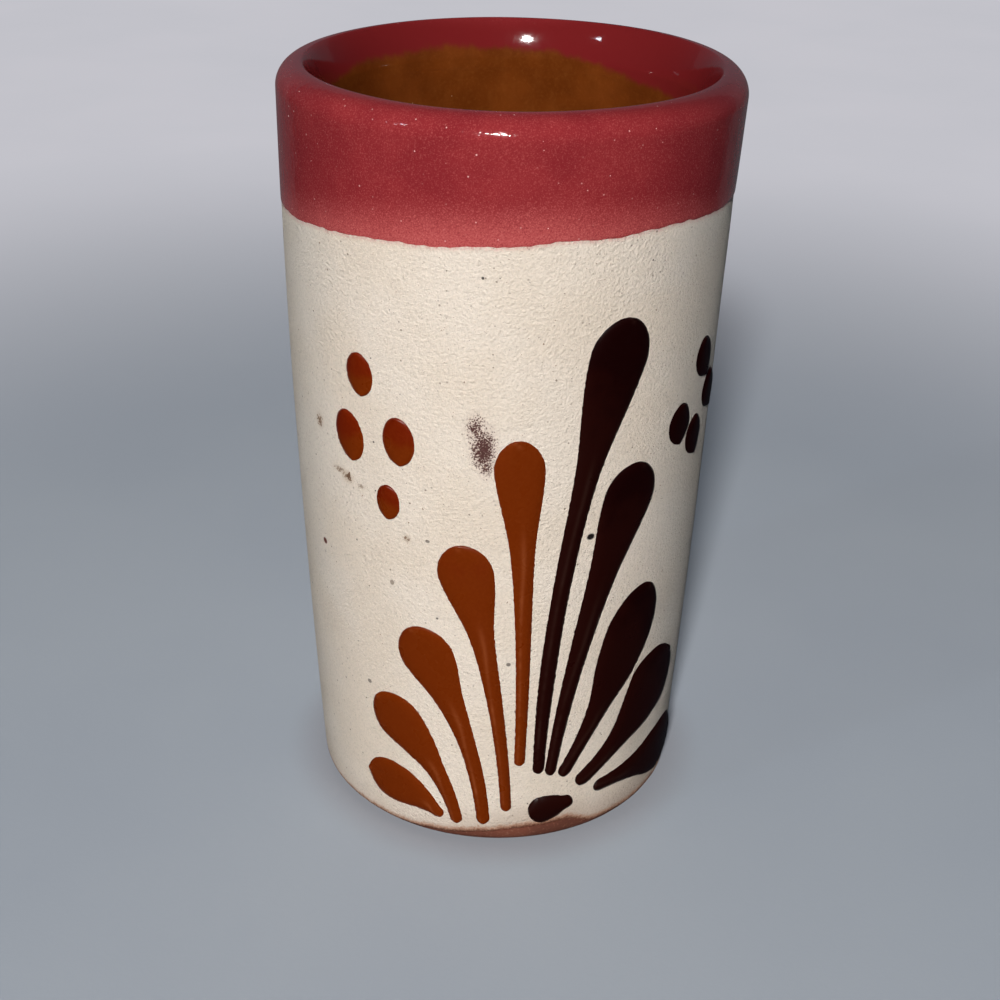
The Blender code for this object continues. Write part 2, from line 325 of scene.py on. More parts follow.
# %% Paper finish, and which lamps reach it
PAPER_NEAR = (0.292, 0.323, 0.366)
PAPER_CLOUD = (0.315, 0.346, 0.384)
PAPER_GLOW = (0.052, 0.057, 0.066)
PAPER_FAR = (0.555, 0.55, 0.595)
PAPER_FAR_CLOUD = (0.535, 0.535, 0.58)
FOOT_SHADE = (0.19, 0.165, 0.165)
UNLIT = (0.0, 0.0, 0.0)

paper_finish, tree, shader, place = new_finish("pale_paper")
cloud = fade(tree, mottle(tree, place, 60.0, 3.0), 0.3, 0.7)
tooth = mottle(tree, place, 0.5, 2.0)
away = steer(tree, "LENGTH", place)
tone = lay_colour(tree, cloud, PAPER_NEAR, PAPER_CLOUD)
# Painted shadow: the paper is made darker right round the foot.
tone = lay_colour(tree, fade(tree, away, 24.0, 18.5, 0.0, 0.45), tone, FOOT_SHADE)
far = fade(tree, away, 80.0, 260.0)
tone = lay_colour(tree, far, tone, UNLIT)
glow = lay_colour(tree, cloud, PAPER_FAR, PAPER_FAR_CLOUD)
glow = lay_colour(tree, far, PAPER_GLOW, glow)
set_inputs(tree, shader, {"Base Color": tone, "Roughness": 0.8, "Specular IOR Level": 0.0,
                          "Emission Color": glow, "Emission Strength": 1.0})
raise_surface(tree, shader, ((tooth, 0.01),))
for sheet in (floor, paper_wall):
    sheet.data.materials.append(paper_finish)


def link_lamp(lamp, thing, state):
    """Let a lamp light one thing alone, or everything but that thing."""
    group = bpy.data.collections.new(f"{lamp.name}_reach")
    group.objects.link(thing)
    group.collection_objects[0].light_linking.link_state = state
    lamp.light_linking.receiver_collection = group


for lamp in back_lamps:
    link_lamp(lamp, floor, "EXCLUDE")
print("Paper finish on, and", len(back_lamps), "lamps kept off the floor")

# %% [markdown]
# ## The cup's outline
# The wall tapers from a 43 mm rim to a 38 mm foot, with a slight belly. These are the CAD part's own
# sizes. A hand-made cup is never quite true, so a wobble of about a tenth of a millimetre is added.
# Everything is laid out by its turn round the cup, counted from the front towards the right.

# %% Sizes and the true outline
CUP_HEIGHT = 76.0 * MM
RIM_RADIUS = 21.4 * MM
FOOT_RADIUS = 19.0 * MM
WALL_BOW = 0.5 * MM
FOOT_ROUND = 1.4 * MM
LIP_THICKNESS = 2.8 * MM
LIP_RISE = 2.2 * MM
LIP_CREST = 0.27
LOW_WALL_THICKNESS = 4.4 * MM
FLOOR_THICKNESS = 6.0 * MM
FLOOR_ROUND = 5.0 * MM
LIP_START = CUP_HEIGHT - LIP_RISE
BORE_SHIFT = 0.35 * MM


def wall_radius(z):
    """Radius of the true outer wall: a straight taper with a slight belly."""
    share = z / LIP_START
    return FOOT_RADIUS + (RIM_RADIUS - FOOT_RADIUS) * share + WALL_BOW * 4 * share * (1 - share)


def bore_radius(turn, z):
    """Radius of the inside wall, which sits a little to the right near the lip."""
    low = wall_radius(FLOOR_THICKNESS) - LOW_WALL_THICKNESS
    high = RIM_RADIUS - LIP_THICKNESS + BORE_SHIFT * math.sin(turn)
    share = (z - FLOOR_THICKNESS) / (LIP_START - FLOOR_THICKNESS)
    return low + (high - low) * share


def lip_line(outside, inside, rise, count):
    """Over the lip: a broad shoulder outside, then a tighter one inside."""
    crest = inside + (outside - inside) * LIP_CREST
    line = []
    for angle in [math.pi * (i + 1) / count for i in range(count)]:
        reach = outside - crest if angle < math.pi / 2 else crest - inside
        line.append((crest + reach * math.cos(angle), LIP_START + rise * math.sin(angle)))
    return line


print("Wall radius at the foot, middle and rim:",
      [round(wall_radius(z) / MM, 2) for z in (0.0, CUP_HEIGHT / 2, LIP_START)])

# %% A hand-made wall
def wobble(turn, z):
    """How far the hand-made wall strays from the true one."""
    middle = math.sin(math.pi * z / CUP_HEIGHT)
    sway = -0.11 * math.sin(turn)
    dents = 0.035 * math.sin(3 * turn + 1.1 + 70.0 * z)
    dents += 0.02 * math.sin(5 * turn + 2.0 - 110.0 * z)
    shoulder = 0.17 * max(math.sin(turn), 0.0) * math.exp(-((z - 65 * MM) / (9 * MM)) ** 2)
    return ((sway + dents) * middle + shoulder) * MM


def face_radius(turn, z):
    """Radius of the cream face, with its rounded foot."""
    radius = wall_radius(max(z, FOOT_ROUND)) + wobble(turn, z)
    if z < FOOT_ROUND:
        drop = FOOT_ROUND - z
        radius -= FOOT_ROUND - math.sqrt(FOOT_ROUND ** 2 - drop ** 2)
    return radius


def ripple(turn, wave, seed):
    """A smooth random wave round the cup, its swings about this many millimetres long."""
    reach = 20.0 / wave
    return 2 * noise.noise(Vector((reach * math.sin(turn), reach * math.cos(turn), seed)))


def smooth_step(value, start, stop):
    """0 before the start, 1 after the stop, and an easy curve between."""
    share = min(max((value - start) / (stop - start), 0.0), 1.0)
    return share * share * (3 - 2 * share)


def spread(start, stop, count):
    """So many evenly spaced values, both ends among them."""
    return [start + (stop - start) * i / (count - 1) for i in range(count)]


print("Half way up, the right side strays", round(wobble(math.pi / 2, CUP_HEIGHT / 2) / MM, 2), "mm")

# %% [markdown]
# ## Turning a layer
# A screw modifier would turn one profile into a perfect ring, but every layer here has an edge that
# rises and falls as it goes round. So a profile is asked for at each turn, and neighbouring profiles
# are skinned. A profile that starts and ends on the axis closes there; any other closes on itself.
# Each point may carry values, such as how worn it is, which the finish reads.

# %% Turning helpers
SHARP_FROM = math.radians(55.0)


def make_piece(name, points, faces, values):
    """A closed mesh with smooth shading, sharp only at its real edges."""
    mesh = bpy.data.meshes.new(name)
    mesh.from_pydata(points, [], faces)
    shape = bmesh.new()
    shape.from_mesh(mesh)
    bmesh.ops.recalc_face_normals(shape, faces=shape.faces)
    shape.to_mesh(mesh)
    shape.free()
    for label, numbers in values.items():
        layer = mesh.attributes.new(label, "FLOAT", "POINT")
        layer.data.foreach_set("value", numbers)
    mesh.shade_smooth()
    mesh.set_sharp_from_angle(angle=SHARP_FROM)
    piece = bpy.data.objects.new(name, mesh)
    bpy.context.scene.collection.objects.link(piece)
    print(name, len(points), "points")
    return piece


def skin(first, second):
    """Faces between two rings of point numbers; a ring of one point is on the axis."""
    faces = []
    count = max(len(first), len(second))
    for i in range(count):
        j = (i + 1) % count
        corners = (first[i % len(first)], first[j % len(first)],
                   second[j % len(second)], second[i % len(second)])
        faces.append(tuple(dict.fromkeys(corners)))
    return faces


def turn_piece(name, profile, segments, labels=()):
    """Turn a profile that may change as it goes round: rows of (radius, z, values...)."""
    turns = [math.tau * i / segments for i in range(segments)]
    lines = [profile(turn) for turn in turns]
    points, rings = [], []
    values = {label: [] for label in labels}
    for k in range(len(lines[0])):
        on_axis = lines[0][k][0] == 0.0
        ring = []
        for turn, line in list(zip(turns, lines))[:1 if on_axis else segments]:
            radius, z, *extra = line[k]
            ring.append(len(points))
            points.append((radius * math.sin(turn), -radius * math.cos(turn), z))
            for label, value in zip(labels, extra):
                values[label].append(value)
        rings.append(ring)
    pairs = list(zip(rings, rings[1:]))
    if len(rings[0]) > 1:
        pairs.append((rings[-1], rings[0]))
    faces = [face for pair in pairs for face in skin(*pair)]
    return make_piece(name, points, faces, values)


print("Turning helpers ready")

# %% [markdown]
# ## The clay
# The fired clay shows only at the foot, where the slip was wiped back, and underneath. It is still
# made whole, because the cup can be seen from below too. Its wall is a little behind the slip.

# %% The fired clay cup
CLAY_UNDER_FOOT = 0.08 * MM
CLAY_UNDER_SLIP = 0.40 * MM
BARE_TOP = 3.4 * MM
BED_FULL = 6.0 * MM
GLAZE_BED = 0.5 * MM
FOOT_HOLLOW = 0.12 * MM
CLAY_SEGMENTS = 288


def clay_profile(turn):
    """Underside, rounded foot, wall, lip, bore and floor of the bare cup."""
    flat = face_radius(turn, 0.0) - CLAY_UNDER_FOOT
    under = [(0.0, FOOT_HOLLOW)]
    for share in (0.2, 0.4, 0.6, 0.8, 0.88, 0.94, 1.0):
        under.append((flat * share, FOOT_HOLLOW * (1 - smooth_step(share, 0.72, 0.94))))
    foot = []
    for angle in (15, 30, 45, 60, 75, 90):
        z = FOOT_ROUND * (1 - math.cos(math.radians(angle)))
        foot.append((face_radius(turn, z) - CLAY_UNDER_FOOT, z))
    wall = []
    for z in spread(FOOT_ROUND + 0.3 * MM, LIP_START, 24):
        deeper = (CLAY_UNDER_SLIP - CLAY_UNDER_FOOT) * smooth_step(z, BARE_TOP, BED_FULL)
        wall.append((face_radius(turn, z) - (CLAY_UNDER_FOOT + deeper), z))
    bore_top = bore_radius(turn, LIP_START) + GLAZE_BED
    lip = lip_line(wall[-1][0], bore_top, LIP_RISE - GLAZE_BED, 12)
    corner_top = FLOOR_THICKNESS + FLOOR_ROUND
    corner = FLOOR_ROUND + GLAZE_BED
    bore = [(bore_radius(turn, z) + GLAZE_BED, z) for z in spread(LIP_START, corner_top, 10)[1:]]
    middle = bore[-1][0] - FLOOR_ROUND - GLAZE_BED
    for angle in (22.5, 45.0, 67.5, 90.0):
        a = math.radians(angle)
        bore.append((middle + corner * math.cos(a), corner_top - corner * math.sin(a)))
    return under + foot + wall + lip + bore + [(0.0, FLOOR_THICKNESS - GLAZE_BED)]


fired_clay = turn_piece("fired_clay", clay_profile, CLAY_SEGMENTS)

# %% [markdown]
# Bare terracotta is matt and sandy: paler and darker grains a quarter of a millimetre across, soft
# patches where the kiln reached it differently, and a little pale dust.

# %% Terracotta finish
TERRACOTTA = (0.138, 0.037, 0.0185)
TERRACOTTA_DARK = (0.095, 0.026, 0.0132)
CLAY_DUST = (0.26, 0.115, 0.070)
CLAY_GRIT = (0.05, 0.02, 0.014)

terracotta, tree, shader, place = new_finish("terracotta_fired")
patches = mottle(tree, place, 5.0, 3.0)
grain = mottle(tree, place, 0.28, 2.0)
tone = lay_colour(tree, fade(tree, patches, 0.35, 0.65), TERRACOTTA_DARK, TERRACOTTA)
tone = lay_colour(tree, fade(tree, grain, 0.55, 0.72, 0.0, 0.5), tone, CLAY_DUST)
grit, _ = specks(tree, place, 1.2, 0.05, 0.16)
tone = lay_colour(tree, times(tree, grit, 0.55), tone, CLAY_GRIT)
rough = fade(tree, patches, 0.3, 0.7, 0.72, 0.9)
set_inputs(tree, shader, {"Base Color": tone, "Roughness": rough})
raise_surface(tree, shader, ((grain, 0.03), (mottle(tree, place, 1.1), 0.03)))
fired_clay.data.materials.append(terracotta)
print("Terracotta on the clay")

# %% [markdown]
# ## The cream slip
# The outside was dipped in thin cream clay. It is half a millimetre thick, stops just above the foot
# and runs up under the red band. At the front the foot was wiped with a sponge, so a strip of
# terracotta shows there. The skin thins to nothing at that edge. It carries how worn it is, so that
# the finish can break up into grains before it ends, how strongly a darker tan is laid above that,
# partly the sponge's wash and partly painted shade, heavier on the right, and how close it is to the
# red band, which bled into it a little.

# %% The slip skin
SLIP_THICKNESS = 0.5 * MM
FEATHER = 0.55 * MM
BAND_MIDDLE = 63.9 * MM
BAND_TILT = 1.7 * MM
HIGH_SIDE = math.radians(35.0)
SLIP_SEGMENTS = 384
# Rows lie close together, in millimetres, above the slip's own edge and about the band's.
FOOT_STEPS = (0.0, 0.06, 0.13, 0.21, 0.3, 0.4, 0.52, 0.66, 0.85, 1.1, 1.4)
BAND_STEPS = (-0.4, -0.2, 0.0, 0.2, 0.4, 0.7)


def slip_edge(turn):
    """Height where the slip stops: wiped highest at the front, lower elsewhere."""
    degrees = (math.degrees(turn) + 180.0) % 360.0 - 180.0
    wiped = 1.6 * smooth_step(degrees, -33.0, 22.0) * (1 - smooth_step(degrees, 22.0, 34.0))
    wiped += 0.3 * smooth_step(degrees, 22.0, 34.0) * (1 - smooth_step(degrees, 60.0, 90.0))
    wiped += 0.5 * math.exp(-((abs(degrees) - 150.0) / 24.0) ** 4)
    return (0.4 + wiped + 0.10 * ripple(turn, 4.0, 3.1) + 0.07 * ripple(turn, 1.1, 7.7)) * MM


def band_edge(turn):
    """Height of the red band's lower edge: tilted, and ragged like any brushed line."""
    ragged = 0.11 * ripple(turn, 3.6, 1.3) + 0.06 * ripple(turn, 1.0, 5.9)
    ragged += 0.03 * ripple(turn, 0.55, 2.6)
    return BAND_MIDDLE + BAND_TILT * math.cos(turn - HIGH_SIDE) + ragged * MM


def slip_profile(turn):
    """Up the face from its thin edge, under the band, and down the back."""
    low, top = slip_edge(turn), band_edge(turn)
    rows = [low + step * MM for step in FOOT_STEPS]
    rows += spread(rows[-1], top - 0.6 * MM, 74)[1:]
    rows += [top + step * MM for step in BAND_STEPS]
    line = []
    for z in rows:
        sunk = 0.12 * (1 - smooth_step(z - low, 0.0, FEATHER))
        sunk += 0.25 * smooth_step(z - top, 0.05 * MM, 0.5 * MM)
        worn = 1 - smooth_step(z - low, 0.0, 1.5 * MM)
        # Partly the sponge's wash, partly painted shade: strongest near the foot and on the right.
        wash_and_shade = (1 - smooth_step(z - low, 0.3 * MM, 4.5 * MM)) * (0.8 + 0.45 * math.sin(turn))
        blush = smooth_step(z - top, -0.5 * MM, 0.05 * MM)
        line.append((face_radius(turn, z) - sunk * MM, z, worn, wash_and_shade, blush))
    back = []
    for z in spread(rows[-1], low + 0.1 * MM, 12):
        back.append((face_radius(turn, z) - SLIP_THICKNESS, z, 0.0, 0.0, 0.0))
    return line + back


slip_skin = turn_piece("slip_skin", slip_profile, SLIP_SEGMENTS, ("worn", "wash_and_shade", "blush"))

# %% [markdown]
# Up close the slip is not one cream. It is faintly cloudy, sandy to the touch, and peppered with
# specks of iron, most of them hardly a tenth of a millimetre. On the two flanks of the front it is
# painted a little darker and greyer: painted shade, where the light falls away at the sides. There
# are also the marks of use that the photograph shows: a dark smudge, a few tan stains and some larger
# dots. They could be painted on an image, but a mask in the cup's own millimetres stays sharp from
# every side.

# %% Cream finish
CREAM = (0.717, 0.638, 0.552)
CREAM_WARM = (0.692, 0.604, 0.508)
# Painted shade: multipliers that darken and grey the two flanks of the front.
RIGHT_FLANK_SHADE = (0.76, 0.80, 0.84)
LEFT_FLANK_SHADE = (0.84, 0.87, 0.89)
BLUSH = (0.50, 0.19, 0.17)
IRON_SPECK = (0.20, 0.155, 0.115)
DARK_SPECK = (0.036, 0.028, 0.024)


def paint_flank_shade(tree, place, tone):
    """Painted shade: the front's two flanks made a little darker and greyer, where the light falls away.
    """
    axes = along_axes(tree, place)
    front = fade(tree, axes["Y"], 8.0, -3.0)
    for start, stop, flank_shade_tone in ((11.0, 19.5, RIGHT_FLANK_SHADE), (-13.0, -20.5, LEFT_FLANK_SHADE)):
        shaded_share = times(tree, fade(tree, axes["X"], start, stop), front)
        tone = lay_colour(tree, shaded_share, tone, flank_shade_tone, "MULTIPLY")
    return tone


cream, tree, shader, place = new_finish("cream_slip_fired")
clouds = mottle(tree, place, 9.0, 3.0)
grain = mottle(tree, place, 0.25, 3.0, 0.7)
tone = lay_colour(tree, fade(tree, clouds, 0.35, 0.65), CREAM, CREAM_WARM)
sand = fade(tree, grain, 0.30, 0.70, 0.89, 1.06)
tone = lay_colour(tree, 1.0, tone, sand, "MULTIPLY")
# Painted shade on the two flanks of the front.
tone = paint_flank_shade(tree, place, tone)

flocks = mottle(tree, place_on_cup(tree, shift=(8.1, 2.6, 4.0)), 5.0, 2.0)
flocks = fade(tree, flocks, 0.42, 0.66, 0.5, 1.0)
fine, lot = specks(tree, place, 0.68, 0.02, 0.12)
fine = times(tree, fine, times(tree, flocks, fade(tree, lot, 0.0, 0.9, 0.10, 0.95)))
tone = lay_colour(tree, fine, tone, IRON_SPECK)
large, lot = specks(tree, place_on_cup(tree, shift=(3.7, 1.9, 5.3)), 1.9, -0.02, 0.145)
large = times(tree, large, fade(tree, lot, 0.0, 1.0, 0.35, 0.95))
tone = lay_colour(tree, large, tone, DARK_SPECK)
bled = times(tree, painted_value(tree, "blush"), fade(tree, grain, 0.35, 0.62, 0.1, 0.75))
tone = lay_colour(tree, bled, tone, BLUSH)
print("Cream finish, specks laid on")

# %% Marks on the cream
BLACK_SPECK = (0.007, 0.0045, 0.004)
RUST_SPECK = (0.11, 0.032, 0.022)
SMUDGE = (0.080, 0.031, 0.027)
SMUDGE_HALO = (0.42, 0.27, 0.23)
TAN_STAIN = (0.40, 0.27, 0.155)
STAIN_GRAIN = (0.15, 0.085, 0.050)
# Where each lies, as a turn in degrees and a height, and how far it reaches in millimetres.
SMUDGE_MIDDLE = (-4.3, 46.2)
SMUDGE_REACH = (1.9, 3.0, 3.7)
SMUDGE_SIDES = (((-6.2, 48.2), (1.5, 3.0, 2.5)), ((-3.7, 44.5), (1.4, 3.0, 2.0)))
# The stains and the dots also have a strength, and the dots a colour.
STAINS = (
    ((-43.2, 40.3), (1.1, 1.4, 0.95), 1.0),
    ((-46.3, 40.7), (1.4, 1.7, 0.6), 0.7),
    ((-38.5, 39.9), (0.7, 1.0, 0.5), 0.5),
    ((-24.5, 35.8), (0.55, 0.9, 0.65), 0.9),
    ((-54.7, 44.7), (0.8, 1.2, 1.2), 0.9),
)
IRON_DOTS = (
    ((24.4, 36.4), (0.50, 0.5, 0.42), 1.0, BLACK_SPECK),
    ((-56.2, 31.3), (0.44, 0.5, 0.42), 1.0, RUST_SPECK),
    ((-18.7, 36.0), (0.27, 0.5, 0.20), 0.7, DARK_SPECK),
    ((3.3, 22.9), (0.28, 0.5, 0.26), 0.75, DARK_SPECK),
    ((-39.4, 17.5), (0.28, 0.5, 0.30), 0.7, DARK_SPECK),
    ((-29.5, 30.5), (0.28, 0.5, 0.36), 0.8, IRON_SPECK),
    ((5.8, 17.2), (0.20, 0.5, 0.20), 0.8, RUST_SPECK),
)


def wall_place(degrees, height):
    """A place on the wall, in millimetres, by its turn in degrees and its height."""
    radius = wall_radius(height * MM) / MM
    turn = math.radians(degrees)
    return (radius * math.sin(turn), -radius * math.cos(turn), height)


smudge_grain = mottle(tree, place, 0.17, 2.0, 0.6)
smudge = mark(tree, place, wall_place(*SMUDGE_MIDDLE), SMUDGE_REACH)
for seat, reach in SMUDGE_SIDES:
    side = times(tree, mark(tree, place, wall_place(*seat), reach), 0.75)
    smudge = reckon(tree, "MAXIMUM", smudge, side)
tone = lay_colour(tree, times(tree, smudge, 0.4), tone, SMUDGE_HALO)
smudge = reckon(tree, "ADD", smudge_grain, times(tree, smudge, 0.40))
tone = lay_colour(tree, fade(tree, smudge, 0.64, 0.82), tone, SMUDGE)

stain_grain = mottle(tree, place, 0.25, 2.0)
for seat, reach, strength in STAINS:
    stain = mark(tree, place, wall_place(*seat), reach)
    tone = lay_colour(tree, times(tree, stain, 0.5 * strength), tone, TAN_STAIN)
    stain = reckon(tree, "ADD", stain_grain, times(tree, stain, 0.42))
    stain = times(tree, fade(tree, stain, 0.70, 0.88), strength)
    tone = lay_colour(tree, stain, tone, STAIN_GRAIN)

for seat, reach, strength, colour in IRON_DOTS:
    dot = mark(tree, place, wall_place(*seat), reach, 0.4)
    tone = lay_colour(tree, times(tree, dot, strength), tone, colour)
print("Marks of use laid on")

# %% [markdown]
# At the foot the slip wears through in grains, so the worn value and a noise decide together whether
# clay or cream is seen. That noise and two coarser ones also lift the surface by less than a tenth of a
# millimetre: that is the sandiness which the raking light at the right brings out.

# %% Worn foot and sandy relief
# The darker tan above the foot: partly the sponge's wash, partly painted shade.
FOOT_WASH_AND_SHADE = (0.36, 0.265, 0.21)
FOOT_TAN = (0.36, 0.195, 0.125)

worn = reckon(tree, "ADD", painted_value(tree, "worn"), times(tree, grain, 0.9))
shows = fade(tree, worn, 0.9, 1.4)
clay_tone = lay_colour(tree, fade(tree, clouds, 0.35, 0.65), TERRACOTTA_DARK, TERRACOTTA)
tone = lay_colour(tree, times(tree, painted_value(tree, "wash_and_shade"), 0.6), tone, FOOT_WASH_AND_SHADE)
tone = lay_colour(tree, fade(tree, worn, 0.5, 1.05, 0.0, 0.9), tone, FOOT_TAN)
tone = lay_colour(tree, times(tree, shows, 0.95), tone, clay_tone)
rough = fade(tree, grain, 0.3, 0.7, 0.66, 0.84)
set_inputs(tree, shader, {"Base Color": tone, "Roughness": rough, "Specular IOR Level": 0.2})
nap = mottle(tree, place, 0.36, 3.0, 0.75)
swells = mottle(tree, place, 1.2, 2.0)
raise_surface(tree, shader, ((swells, 0.022), (nap, 0.18), (grain, 0.09)))
slip_skin.data.materials.append(cream)
print("Cream on the slip skin")

# %% [markdown]
# ## The red band
# The red glaze goes over the lip: 11 mm down the outside in front and a few millimetres inside, where it
# melts into the amber. It gathered a little thicker near the lip on the right. A painted stripe would
# miss what gives it away as glaze, the rounded lower edge, so the band is a shell with a bead there. It
# carries its height above that edge, how far it has melted into amber, and whether it is inside, where
# the red is darker.

# %% Thickness and inner edge of the red glaze
FLARE_END = 72.2 * MM
INNER_MIDDLE = 70.5 * MM
INNER_TILT = 3.1 * MM
INNER_LOW_SIDE = math.radians(23.0)
INNER_LOWEST = 69.4 * MM
ROLL_DEPTH = 0.75 * MM
ROLL_REACH = 6.0 * MM


def band_proud(turn, share):
    """How far the glaze stands out from the slip: thin at its edge, fat near the lip on the right."""
    fat = smooth_step(math.sin(turn), -0.3, 1.0)
    return (0.06 + (0.02 + 0.46 * share) * fat + 0.02 * ripple(turn, 9.0, 2.2)) * MM


def inner_edge(turn):
    """Height inside where red turns to amber."""
    level = max(INNER_MIDDLE - INNER_TILT * math.cos(turn - INNER_LOW_SIDE), INNER_LOWEST)
    return level + 0.2 * ripple(turn, 5.0, 8.8) * MM


def melt(turn, z):
    """0 in the red glaze, 1 where the amber has taken over."""
    return 1 - smooth_step(z, inner_edge(turn) - 1.0 * MM, inner_edge(turn) + 0.7 * MM)


def glazed_bore(turn, z):
    """Radius inside on the glaze, which gathers in a soft roll below the lip."""
    return bore_radius(turn, z) - ROLL_DEPTH * math.exp(-((z - FLARE_END) / ROLL_REACH) ** 2)


def flare_line(turn, crest, top, count):
    """From the crest of the lip inwards: nearly a straight bevel, as a thumb leaves it."""
    end = glazed_bore(turn, FLARE_END)
    line = []
    for angle in spread(0.0, math.pi / 2, count):
        inward, height = math.sin(angle) ** 1.35, math.cos(angle) ** 1.6
        line.append((crest - (crest - end) * inward, FLARE_END + (top - FLARE_END) * height))
    return line


print("Inside, the red ends", round(inner_edge(math.pi) / MM, 1), "mm up at the back")

# %% The red band
BAND_SEGMENTS = 576
OUTSIDE_ROWS = 22
LIP_ROWS = 22
FLARE_ROWS = 26
# The bead at the lower edge: millimetres up, and share of the glaze's thickness.
BEAD = ((-0.02, -0.06), (0.0, 0.25), (0.06, 0.5), (0.14, 0.7), (0.25, 0.86), (0.4, 0.96), (0.6, 1.0))
# The height above the edge that the inside and the hidden back of the band are given.
HIGH_UP = 12.0
# The rows over the lip at which the darker inside starts and is complete.
DARK_ROWS = (13, 34)


def band_profile(turn):
    """Up the outside from a rounded bead, over the lip, down inside, and back in the clay."""
    low = band_edge(turn)
    proud = band_proud(turn, 0.05)
    # On the flanks the pale lower zone is narrower, and the darker inside starts some rows earlier.
    side = math.sin(turn)
    narrower = 2.2 * smooth_step(side, 0.2, 0.9) + 1.3 * smooth_step(-side, 0.3, 0.95)
    early = 15 * max(side, 0.0) - 10 * min(side, 0.0)
    face = []
    for step, share in BEAD:
        z = low + step * MM
        face.append((face_radius(turn, z) + share * proud, z, step + narrower, 0.0, 0.0))
    for z in spread(low + BEAD[-1][0] * MM, LIP_START, OUTSIDE_ROWS)[1:]:
        proud = band_proud(turn, (z - low) / (LIP_START - low))
        face.append((face_radius(turn, z) + proud, z, (z - low) / MM + narrower, 0.0, 0.0))
    outside = face[-1][0]
    inside = bore_radius(turn, LIP_START) - 0.05 * MM
    rise = LIP_RISE + 0.05 * ripple(turn, 14.0, 4.4) * MM
    over = lip_line(outside, inside, rise, 2 * LIP_ROWS)[:LIP_ROWS]
    for k, (radius, z) in enumerate(over):
        face.append((radius, z, (z - low) / MM + narrower, 0.0, smooth_step(k + early, *DARK_ROWS)))
    for k, (radius, z) in enumerate(flare_line(turn, *over[-1], FLARE_ROWS)[1:], LIP_ROWS):
        face.append((radius, z, HIGH_UP, melt(turn, z), smooth_step(k + early, *DARK_ROWS)))
    end = min(inner_edge(turn), FLARE_END) - 1.6 * MM
    for z in spread(FLARE_END, end, 14)[1:]:
        sunk = 0.05 * (1 - smooth_step(z, end, end + 0.8 * MM))
        face.append((glazed_bore(turn, z) + sunk * MM, z, HIGH_UP, melt(turn, z), 1.0))
    back = []
    for z in spread(end, LIP_START, 5):
        back.append((bore_radius(turn, z) + 0.3 * MM, z, HIGH_UP, 1.0, 1.0))
    hidden_lip = lip_line(outside - 0.4 * MM, inside + 0.6 * MM, rise - 0.45 * MM, 8)[:-1]
    for radius, z in reversed(hidden_lip):
        back.append((radius, z, HIGH_UP, 0.0, 0.0))
    for z in spread(LIP_START, low, 6):
        back.append((face_radius(turn, z) - 0.4 * MM, z, HIGH_UP / 2, 0.0, 0.0))
    return face + back


red_band = turn_piece("red_band", band_profile, BAND_SEGMENTS, ("above_edge", "melt", "inside"))

# %% [markdown]
# Inside, the red melts into the amber of the liner, and the two pieces meet in the middle of that. A
# recipe of its own for each would leave a seam there, so the amber is written once, for both. A clear
# amber glaze over red clay is brown where it is thick and honey where it is thin, cloudy and a little
# streaked from running down, with dark flecks and tiny bubbles in the glass.

# %% The amber recipe
LINER_AMBER = (0.121, 0.0282, 0.0043)
LINER_DARK = (0.089, 0.0197, 0.0029)
LINER_HONEY = (0.19, 0.058, 0.012)
BUBBLE = (0.42, 0.24, 0.13)


def amber_recipe(tree, place):
    """The colour of the amber glaze and its cloudy relief."""
    clouds = mottle(tree, place, 4.0, 3.0)
    runs = mottle(tree, place_on_cup(tree, stretch=(1.0, 1.0, 0.6)), 1.4, 3.0, 0.6)
    fine = mottle(tree, place, 0.3, 2.0)
    tone = lay_colour(tree, fade(tree, clouds, 0.3, 0.7), LINER_DARK, LINER_AMBER)
    tone = lay_colour(tree, fade(tree, runs, 0.45, 0.8, 0.0, 0.2), tone, LINER_HONEY)
    tone = lay_colour(tree, fade(tree, fine, 0.45, 0.8, 0.0, 0.18), tone, LINER_HONEY)
    fleck, lot = specks(tree, place, 1.6, 0.0, 0.12)
    fleck = times(tree, fleck, fade(tree, lot, 0.3, 0.9, 0.0, 0.6))
    tone = lay_colour(tree, fleck, tone, LINER_DARK)
    bubble, lot = specks(tree, place, 1.9, -0.05, 0.10)
    bubble = times(tree, bubble, fade(tree, lot, 0.4, 0.9, 0.0, 0.7))
    return lay_colour(tree, bubble, tone, BUBBLE), runs


print("Amber recipe ready")

# %% [markdown]
# The red is a speckled glaze: wine red, paler and pinker in the lowest three millimetres where it is
# thinner, with fine grains in it and a few pale specks painted in where its crystals would glint:
# painted glints. Over that it is glossy, and slightly dimpled outside, so a lamp shows in it as a
# cluster of glints. The gloss is a clear coat on the shader, set as plain numbers, so that it survives
# the export. A glossy thing also needs something to mirror: two wide dim cards behind the cup, seen
# by this piece alone, put the grey sheen on its flanks.

# %% Red glaze finish
WINE_RED = (0.228, 0.0225, 0.0255)
DEEP_WINE = (0.190, 0.0160, 0.0200)
THIN_RED = (0.40, 0.075, 0.074)
PINK_GRAIN = (0.48, 0.115, 0.108)
PAINTED_GLINT = (0.9, 0.58, 0.54)
INNER_WINE = (0.130, 0.0095, 0.0105)
CLEAR_COAT = {"Specular IOR Level": 0.0, "Coat Weight": 0.55, "Coat Roughness": 0.08}

